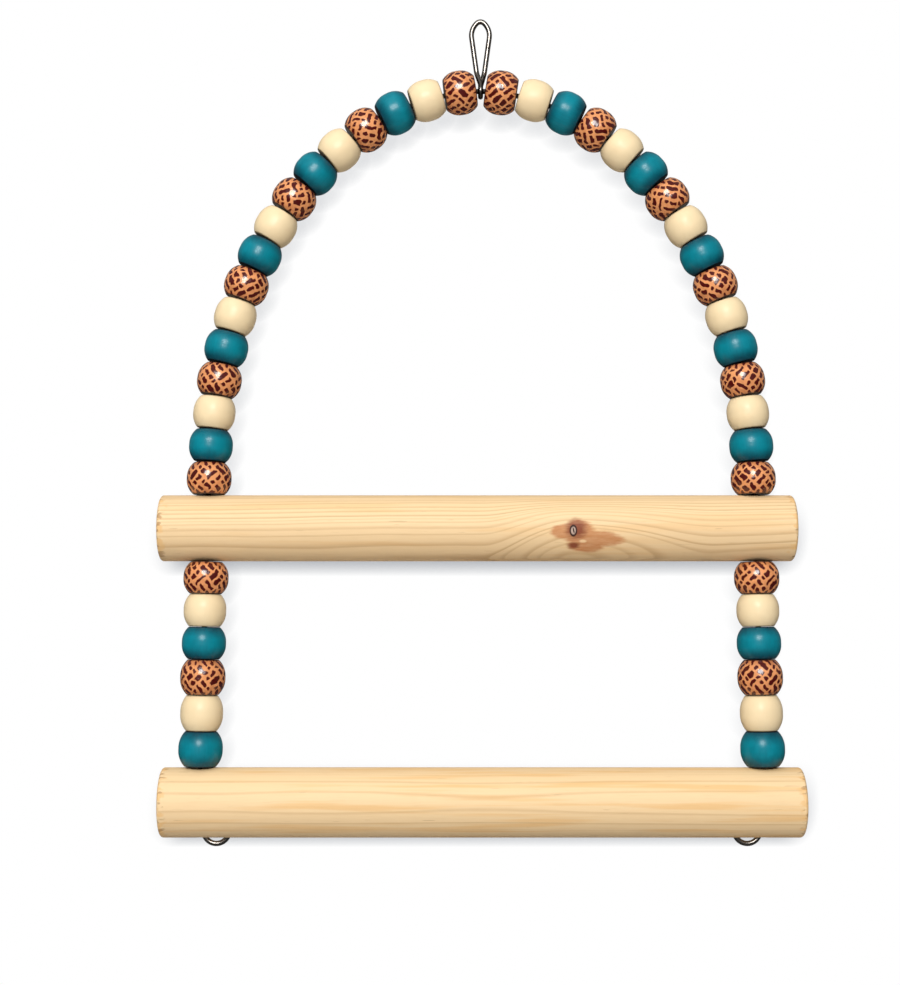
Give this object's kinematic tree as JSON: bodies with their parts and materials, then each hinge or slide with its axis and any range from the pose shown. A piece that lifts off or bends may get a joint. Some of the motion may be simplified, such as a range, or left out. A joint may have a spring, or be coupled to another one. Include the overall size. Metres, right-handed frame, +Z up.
{
  "type": "bird swing",
  "caption": "Hanging bird swing: a beaded steel-wire arch on a twisted teardrop link, carrying two round pine perches one above the other.",
  "frame": {"origin": "hang point: the inside top of the hanging link's crown, where it rests on a cage hook", "axes": "+Z up, +X along the perches, +Y from the pictured front to the back"},
  "size_m": [0.2012, 0.0216, 0.2651],
  "materials": {
    "steel_wire": "bright drawn steel wire",
    "pine": "plain sanded pine",
    "bead_patterned": "glossy tan lacquer over short dark brown strokes and dots",
    "bead_cream": "cream satin lacquer",
    "bead_teal": "teal satin-gloss lacquer"
  },
  "bodies": {
    "hanging_link": {"hanging_link": "steel_wire"},
    "frame": {"frame_wire": "steel_wire", "upper_perch": "pine", "lower_perch": "pine"},
    "left_arch_bead_01_patterned": {"left_arch_bead_01_patterned": "bead_patterned"},
    "left_arch_bead_02_cream": {"left_arch_bead_02_cream": "bead_cream"},
    "left_arch_bead_03_teal": {"left_arch_bead_03_teal": "bead_teal"},
    "left_arch_bead_04_patterned": {"left_arch_bead_04_patterned": "bead_patterned"},
    "left_arch_bead_05_cream": {"left_arch_bead_05_cream": "bead_cream"},
    "left_arch_bead_06_teal": {"left_arch_bead_06_teal": "bead_teal"},
    "left_arch_bead_07_patterned": {"left_arch_bead_07_patterned": "bead_patterned"},
    "left_arch_bead_08_cream": {"left_arch_bead_08_cream": "bead_cream"},
    "left_arch_bead_09_teal": {"left_arch_bead_09_teal": "bead_teal"},
    "left_arch_bead_10_patterned": {"left_arch_bead_10_patterned": "bead_patterned"},
    "left_arch_bead_11_cream": {"left_arch_bead_11_cream": "bead_cream"},
    "left_arch_bead_12_teal": {"left_arch_bead_12_teal": "bead_teal"},
    "left_arch_bead_13_patterned": {"left_arch_bead_13_patterned": "bead_patterned"},
    "left_arch_bead_14_cream": {"left_arch_bead_14_cream": "bead_cream"},
    "left_arch_bead_15_teal": {"left_arch_bead_15_teal": "bead_teal"},
    "left_arch_bead_16_patterned": {"left_arch_bead_16_patterned": "bead_patterned"},
    "left_side_bead_01_patterned": {"left_side_bead_01_patterned": "bead_patterned"},
    "left_side_bead_02_cream": {"left_side_bead_02_cream": "bead_cream"},
    "left_side_bead_03_teal": {"left_side_bead_03_teal": "bead_teal"},
    "left_side_bead_04_patterned": {"left_side_bead_04_patterned": "bead_patterned"},
    "left_side_bead_05_cream": {"left_side_bead_05_cream": "bead_cream"},
    "left_side_bead_06_teal": {"left_side_bead_06_teal": "bead_teal"},
    "right_arch_bead_01_patterned": {"right_arch_bead_01_patterned": "bead_patterned"},
    "right_arch_bead_02_cream": {"right_arch_bead_02_cream": "bead_cream"},
    "right_arch_bead_03_teal": {"right_arch_bead_03_teal": "bead_teal"},
    "right_arch_bead_04_patterned": {"right_arch_bead_04_patterned": "bead_patterned"},
    "right_arch_bead_05_cream": {"right_arch_bead_05_cream": "bead_cream"},
    "right_arch_bead_06_teal": {"right_arch_bead_06_teal": "bead_teal"},
    "right_arch_bead_07_patterned": {"right_arch_bead_07_patterned": "bead_patterned"},
    "right_arch_bead_08_cream": {"right_arch_bead_08_cream": "bead_cream"},
    "right_arch_bead_09_teal": {"right_arch_bead_09_teal": "bead_teal"},
    "right_arch_bead_10_patterned": {"right_arch_bead_10_patterned": "bead_patterned"},
    "right_arch_bead_11_cream": {"right_arch_bead_11_cream": "bead_cream"},
    "right_arch_bead_12_teal": {"right_arch_bead_12_teal": "bead_teal"},
    "right_arch_bead_13_patterned": {"right_arch_bead_13_patterned": "bead_patterned"},
    "right_arch_bead_14_cream": {"right_arch_bead_14_cream": "bead_cream"},
    "right_arch_bead_15_teal": {"right_arch_bead_15_teal": "bead_teal"},
    "right_arch_bead_16_patterned": {"right_arch_bead_16_patterned": "bead_patterned"},
    "right_side_bead_01_patterned": {"right_side_bead_01_patterned": "bead_patterned"},
    "right_side_bead_02_cream": {"right_side_bead_02_cream": "bead_cream"},
    "right_side_bead_03_teal": {"right_side_bead_03_teal": "bead_teal"},
    "right_side_bead_04_patterned": {"right_side_bead_04_patterned": "bead_patterned"},
    "right_side_bead_05_cream": {"right_side_bead_05_cream": "bead_cream"},
    "right_side_bead_06_teal": {"right_side_bead_06_teal": "bead_teal"}
  },
  "joints": [
    {"name": "frame_swing", "type": "hinge", "parent": "hanging_link", "child": "frame", "pos_m": [0, 0, -0.02237], "axis": [1, 0, 0], "range_deg": [-60, 60]},
    {"name": "left_arch_bead_01_patterned_spin", "type": "hinge", "parent": "frame", "child": "left_arch_bead_01_patterned", "pos_m": [-0.00664, 0, -0.02287], "axis": [-0.9888, 0, -0.1495], "continuous": true},
    {"name": "left_arch_bead_02_cream_spin", "type": "hinge", "parent": "frame", "child": "left_arch_bead_02_cream", "pos_m": [-0.01745, 0, -0.02543], "axis": [-0.9508, 0, -0.3099], "continuous": true},
    {"name": "left_arch_bead_03_teal_spin", "type": "hinge", "parent": "frame", "child": "left_arch_bead_03_teal", "pos_m": [-0.02765, 0, -0.02963], "axis": [-0.8936, 0, -0.4488], "continuous": true},
    {"name": "left_arch_bead_04_patterned_spin", "type": "hinge", "parent": "frame", "child": "left_arch_bead_04_patterned", "pos_m": [-0.03709, 0, -0.03521], "axis": [-0.8239, 0, -0.5668], "continuous": true},
    {"name": "left_arch_bead_05_cream_spin", "type": "hinge", "parent": "frame", "child": "left_arch_bead_05_cream", "pos_m": [-0.04567, 0, -0.04194], "axis": [-0.7468, 0, -0.6651], "continuous": true},
    {"name": "left_arch_bead_06_teal_spin", "type": "hinge", "parent": "frame", "child": "left_arch_bead_06_teal", "pos_m": [-0.05335, 0, -0.04961], "axis": [-0.6663, 0, -0.7457], "continuous": true},
    {"name": "left_arch_bead_07_patterned_spin", "type": "hinge", "parent": "frame", "child": "left_arch_bead_07_patterned", "pos_m": [-0.06012, 0, -0.05803], "axis": [-0.5853, 0, -0.8108], "continuous": true},
    {"name": "left_arch_bead_08_cream_spin", "type": "hinge", "parent": "frame", "child": "left_arch_bead_08_cream", "pos_m": [-0.066, 0, -0.06704], "axis": [-0.506, 0, -0.8625], "continuous": true},
    {"name": "left_arch_bead_09_teal_spin", "type": "hinge", "parent": "frame", "child": "left_arch_bead_09_teal", "pos_m": [-0.07102, 0, -0.07651], "axis": [-0.4297, 0, -0.903], "continuous": true},
    {"name": "left_arch_bead_10_patterned_spin", "type": "hinge", "parent": "frame", "child": "left_arch_bead_10_patterned", "pos_m": [-0.07522, 0, -0.08633], "axis": [-0.3573, 0, -0.934], "continuous": true},
    {"name": "left_arch_bead_11_cream_spin", "type": "hinge", "parent": "frame", "child": "left_arch_bead_11_cream", "pos_m": [-0.07867, 0, -0.09641], "axis": [-0.2894, 0, -0.9572], "continuous": true},
    {"name": "left_arch_bead_12_teal_spin", "type": "hinge", "parent": "frame", "child": "left_arch_bead_12_teal", "pos_m": [-0.08141, 0, -0.10667], "axis": [-0.2262, 0, -0.9741], "continuous": true},
    {"name": "left_arch_bead_13_patterned_spin", "type": "hinge", "parent": "frame", "child": "left_arch_bead_13_patterned", "pos_m": [-0.0835, 0, -0.11705], "axis": [-0.1677, 0, -0.9858], "continuous": true},
    {"name": "left_arch_bead_14_cream_spin", "type": "hinge", "parent": "frame", "child": "left_arch_bead_14_cream", "pos_m": [-0.08498, 0, -0.12751], "axis": [-0.1138, 0, -0.9935], "continuous": true},
    {"name": "left_arch_bead_15_teal_spin", "type": "hinge", "parent": "frame", "child": "left_arch_bead_15_teal", "pos_m": [-0.08592, 0, -0.13801], "axis": [-0.0644, 0, -0.9979], "continuous": true},
    {"name": "left_arch_bead_16_patterned_spin", "type": "hinge", "parent": "frame", "child": "left_arch_bead_16_patterned", "pos_m": [-0.08636, 0, -0.14852], "axis": [-0.0192, 0, -0.9998], "continuous": true},
    {"name": "left_side_bead_01_patterned_spin", "type": "hinge", "parent": "frame", "child": "left_side_bead_01_patterned", "pos_m": [-0.08697, 0, -0.17998], "axis": [-0.0192, 0, -0.9998], "continuous": true},
    {"name": "left_side_bead_02_cream_spin", "type": "hinge", "parent": "frame", "child": "left_side_bead_02_cream", "pos_m": [-0.08716, 0, -0.19022], "axis": [-0.0192, 0, -0.9998], "continuous": true},
    {"name": "left_side_bead_03_teal_spin", "type": "hinge", "parent": "frame", "child": "left_side_bead_03_teal", "pos_m": [-0.08736, 0, -0.20047], "axis": [-0.0192, 0, -0.9998], "continuous": true},
    {"name": "left_side_bead_04_patterned_spin", "type": "hinge", "parent": "frame", "child": "left_side_bead_04_patterned", "pos_m": [-0.08756, 0, -0.21117], "axis": [-0.0192, 0, -0.9998], "continuous": true},
    {"name": "left_side_bead_05_cream_spin", "type": "hinge", "parent": "frame", "child": "left_side_bead_05_cream", "pos_m": [-0.08778, 0, -0.22232], "axis": [-0.0192, 0, -0.9998], "continuous": true},
    {"name": "left_side_bead_06_teal_spin", "type": "hinge", "parent": "frame", "child": "left_side_bead_06_teal", "pos_m": [-0.08799, 0, -0.23347], "axis": [-0.0192, 0, -0.9998], "continuous": true},
    {"name": "right_arch_bead_01_patterned_spin", "type": "hinge", "parent": "frame", "child": "right_arch_bead_01_patterned", "pos_m": [0.00664, 0, -0.02287], "axis": [0.9888, 0, -0.1495], "continuous": true},
    {"name": "right_arch_bead_02_cream_spin", "type": "hinge", "parent": "frame", "child": "right_arch_bead_02_cream", "pos_m": [0.01745, 0, -0.02543], "axis": [0.9508, 0, -0.3099], "continuous": true},
    {"name": "right_arch_bead_03_teal_spin", "type": "hinge", "parent": "frame", "child": "right_arch_bead_03_teal", "pos_m": [0.02765, 0, -0.02963], "axis": [0.8936, 0, -0.4488], "continuous": true},
    {"name": "right_arch_bead_04_patterned_spin", "type": "hinge", "parent": "frame", "child": "right_arch_bead_04_patterned", "pos_m": [0.03709, 0, -0.03521], "axis": [0.8239, 0, -0.5668], "continuous": true},
    {"name": "right_arch_bead_05_cream_spin", "type": "hinge", "parent": "frame", "child": "right_arch_bead_05_cream", "pos_m": [0.04567, 0, -0.04194], "axis": [0.7468, 0, -0.6651], "continuous": true},
    {"name": "right_arch_bead_06_teal_spin", "type": "hinge", "parent": "frame", "child": "right_arch_bead_06_teal", "pos_m": [0.05335, 0, -0.04961], "axis": [0.6663, 0, -0.7457], "continuous": true},
    {"name": "right_arch_bead_07_patterned_spin", "type": "hinge", "parent": "frame", "child": "right_arch_bead_07_patterned", "pos_m": [0.06012, 0, -0.05803], "axis": [0.5853, 0, -0.8108], "continuous": true},
    {"name": "right_arch_bead_08_cream_spin", "type": "hinge", "parent": "frame", "child": "right_arch_bead_08_cream", "pos_m": [0.066, 0, -0.06704], "axis": [0.506, 0, -0.8625], "continuous": true},
    {"name": "right_arch_bead_09_teal_spin", "type": "hinge", "parent": "frame", "child": "right_arch_bead_09_teal", "pos_m": [0.07102, 0, -0.07651], "axis": [0.4297, 0, -0.903], "continuous": true},
    {"name": "right_arch_bead_10_patterned_spin", "type": "hinge", "parent": "frame", "child": "right_arch_bead_10_patterned", "pos_m": [0.07522, 0, -0.08633], "axis": [0.3573, 0, -0.934], "continuous": true},
    {"name": "right_arch_bead_11_cream_spin", "type": "hinge", "parent": "frame", "child": "right_arch_bead_11_cream", "pos_m": [0.07867, 0, -0.09641], "axis": [0.2894, 0, -0.9572], "continuous": true},
    {"name": "right_arch_bead_12_teal_spin", "type": "hinge", "parent": "frame", "child": "right_arch_bead_12_teal", "pos_m": [0.08141, 0, -0.10667], "axis": [0.2262, 0, -0.9741], "continuous": true},
    {"name": "right_arch_bead_13_patterned_spin", "type": "hinge", "parent": "frame", "child": "right_arch_bead_13_patterned", "pos_m": [0.0835, 0, -0.11705], "axis": [0.1677, 0, -0.9858], "continuous": true},
    {"name": "right_arch_bead_14_cream_spin", "type": "hinge", "parent": "frame", "child": "right_arch_bead_14_cream", "pos_m": [0.08498, 0, -0.12751], "axis": [0.1138, 0, -0.9935], "continuous": true},
    {"name": "right_arch_bead_15_teal_spin", "type": "hinge", "parent": "frame", "child": "right_arch_bead_15_teal", "pos_m": [0.08592, 0, -0.13801], "axis": [0.0644, 0, -0.9979], "continuous": true},
    {"name": "right_arch_bead_16_patterned_spin", "type": "hinge", "parent": "frame", "child": "right_arch_bead_16_patterned", "pos_m": [0.08636, 0, -0.14852], "axis": [0.0192, 0, -0.9998], "continuous": true},
    {"name": "right_side_bead_01_patterned_spin", "type": "hinge", "parent": "frame", "child": "right_side_bead_01_patterned", "pos_m": [0.08697, 0, -0.17998], "axis": [0.0192, 0, -0.9998], "continuous": true},
    {"name": "right_side_bead_02_cream_spin", "type": "hinge", "parent": "frame", "child": "right_side_bead_02_cream", "pos_m": [0.08716, 0, -0.19022], "axis": [0.0192, 0, -0.9998], "continuous": true},
    {"name": "right_side_bead_03_teal_spin", "type": "hinge", "parent": "frame", "child": "right_side_bead_03_teal", "pos_m": [0.08736, 0, -0.20047], "axis": [0.0192, 0, -0.9998], "continuous": true},
    {"name": "right_side_bead_04_patterned_spin", "type": "hinge", "parent": "frame", "child": "right_side_bead_04_patterned", "pos_m": [0.08756, 0, -0.21117], "axis": [0.0192, 0, -0.9998], "continuous": true},
    {"name": "right_side_bead_05_cream_spin", "type": "hinge", "parent": "frame", "child": "right_side_bead_05_cream", "pos_m": [0.08778, 0, -0.22232], "axis": [0.0192, 0, -0.9998], "continuous": true},
    {"name": "right_side_bead_06_teal_spin", "type": "hinge", "parent": "frame", "child": "right_side_bead_06_teal", "pos_m": [0.08799, 0, -0.23347], "axis": [0.0192, 0, -0.9998], "continuous": true}
  ]
}
